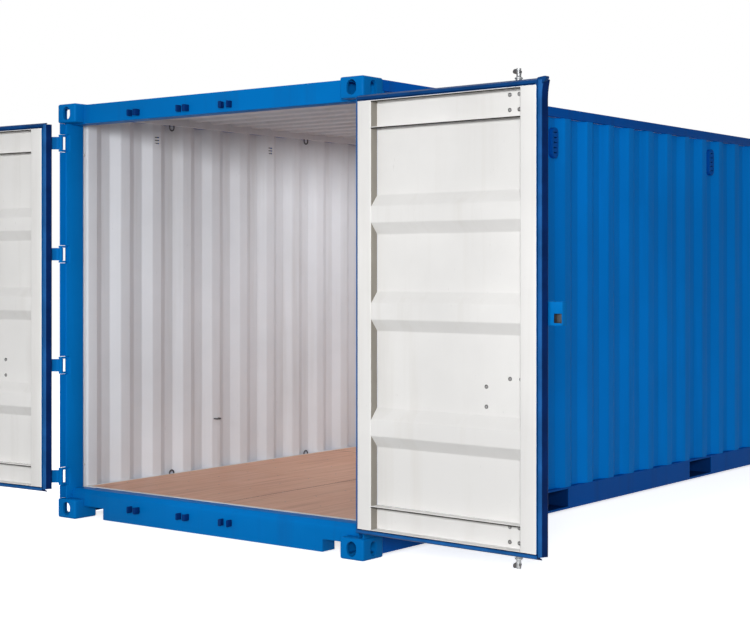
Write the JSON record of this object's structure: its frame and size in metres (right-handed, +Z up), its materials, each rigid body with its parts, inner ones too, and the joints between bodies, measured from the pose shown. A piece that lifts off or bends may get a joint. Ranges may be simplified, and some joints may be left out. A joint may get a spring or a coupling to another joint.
{
  "type": "twenty foot dry freight shipping container with open doors",
  "caption": "Steel box for dry freight with hinged cargo doors, lock rods, plywood floor, fork pockets and corner castings for stacking and lifting.",
  "frame": {"origin": "centre of the base, level with the undersides of the bottom corner castings", "axes": "+X along the length, away from the cargo doors; +Y towards the left-hand door seen from outside; +Z up"},
  "size_m": [6.2183, 4.9069, 2.591],
  "materials": {
    "blue_paint": "semi-gloss blue marine paint",
    "blue_wall_paint": "blue outside, pale grey inside, semi-gloss paint",
    "door_paint": "pale paint on the inner face, blue outside",
    "roof_paint": "blue outside, pale grey inside",
    "galvanised": "galvanised steel, dull",
    "seal": "blue rubber seal",
    "plywood": "reddish brown sealed plywood",
    "edging": "pale grey paint"
  },
  "bodies": {
    "container": {"bottom_side_rail_left": "blue_paint", "bottom_side_rail_right": "blue_paint", "corner_castings_bottom": "blue_paint", "corner_castings_top": "blue_paint", "door_header": "blue_paint", "door_sill": "blue_paint", "floor_cross_members": "blue_paint", "floor_edge_strips": "edging", "forklift_pockets": "blue_paint", "front_corner_post_left": "blue_paint", "front_corner_post_right": "blue_paint", "front_header": "blue_paint", "front_sill": "blue_paint", "front_wall": "blue_wall_paint", "header_keepers": "blue_paint", "lashing_bars": "galvanised", "lashing_rings": "galvanised", "plywood_floor": "plywood", "post_hinges_left": "blue_paint", "post_hinges_right": "blue_paint", "rear_corner_post_left": "blue_paint", "rear_corner_post_right": "blue_paint", "roof_panels": "roof_paint", "side_vents": "blue_paint", "side_wall_left": "blue_wall_paint", "side_wall_right": "blue_wall_paint", "sill_keepers": "blue_paint", "top_side_rail_left": "blue_paint", "top_side_rail_right": "blue_paint"},
    "left_door": {"left_door_frame": "door_paint", "left_door_gasket": "seal", "left_door_hinges": "blue_paint", "left_door_panel": "door_paint", "left_door_rod_brackets": "blue_paint"},
    "right_door": {"right_door_frame": "door_paint", "right_door_gasket": "seal", "right_door_hinges": "blue_paint", "right_door_lock_box": "blue_paint", "right_door_panel": "door_paint", "right_door_rod_brackets": "blue_paint"},
    "left_outer_rod": {"left_door_outer_lock_rod": "galvanised", "left_door_outer_handle": "galvanised"},
    "left_inner_rod": {"left_door_inner_lock_rod": "galvanised", "left_door_inner_handle": "galvanised"},
    "right_rod": {"right_door_single_lock_rod": "galvanised", "right_door_single_handle": "galvanised"}
  },
  "joints": [
    {"name": "left_door_swing", "type": "hinge", "parent": "container", "child": "left_door", "pos_m": [-3.015, 1.205, 1.3], "axis": [0, 0, -1], "range_deg": [-177, 93]},
    {"name": "right_door_swing", "type": "hinge", "parent": "container", "child": "right_door", "pos_m": [-3.015, -1.205, 1.3], "axis": [0, 0, 1], "range_deg": [-177, 93]},
    {"name": "left_outer_rod_turn", "type": "hinge", "parent": "left_door", "child": "left_outer_rod", "pos_m": [-3.07909, 1.81648, 1.3], "axis": [0, 0, -1], "range_deg": [-100, 0]},
    {"name": "left_inner_rod_turn", "type": "hinge", "parent": "left_door", "child": "left_inner_rod", "pos_m": [-3.10086, 2.23191, 1.3], "axis": [0, 0, -1], "range_deg": [-100, 0]},
    {"name": "right_rod_turn", "type": "hinge", "parent": "right_door", "child": "right_rod", "pos_m": [-3.10123, -2.2389, 1.3], "axis": [0, 0, 1], "range_deg": [-100, 0]}
  ]
}
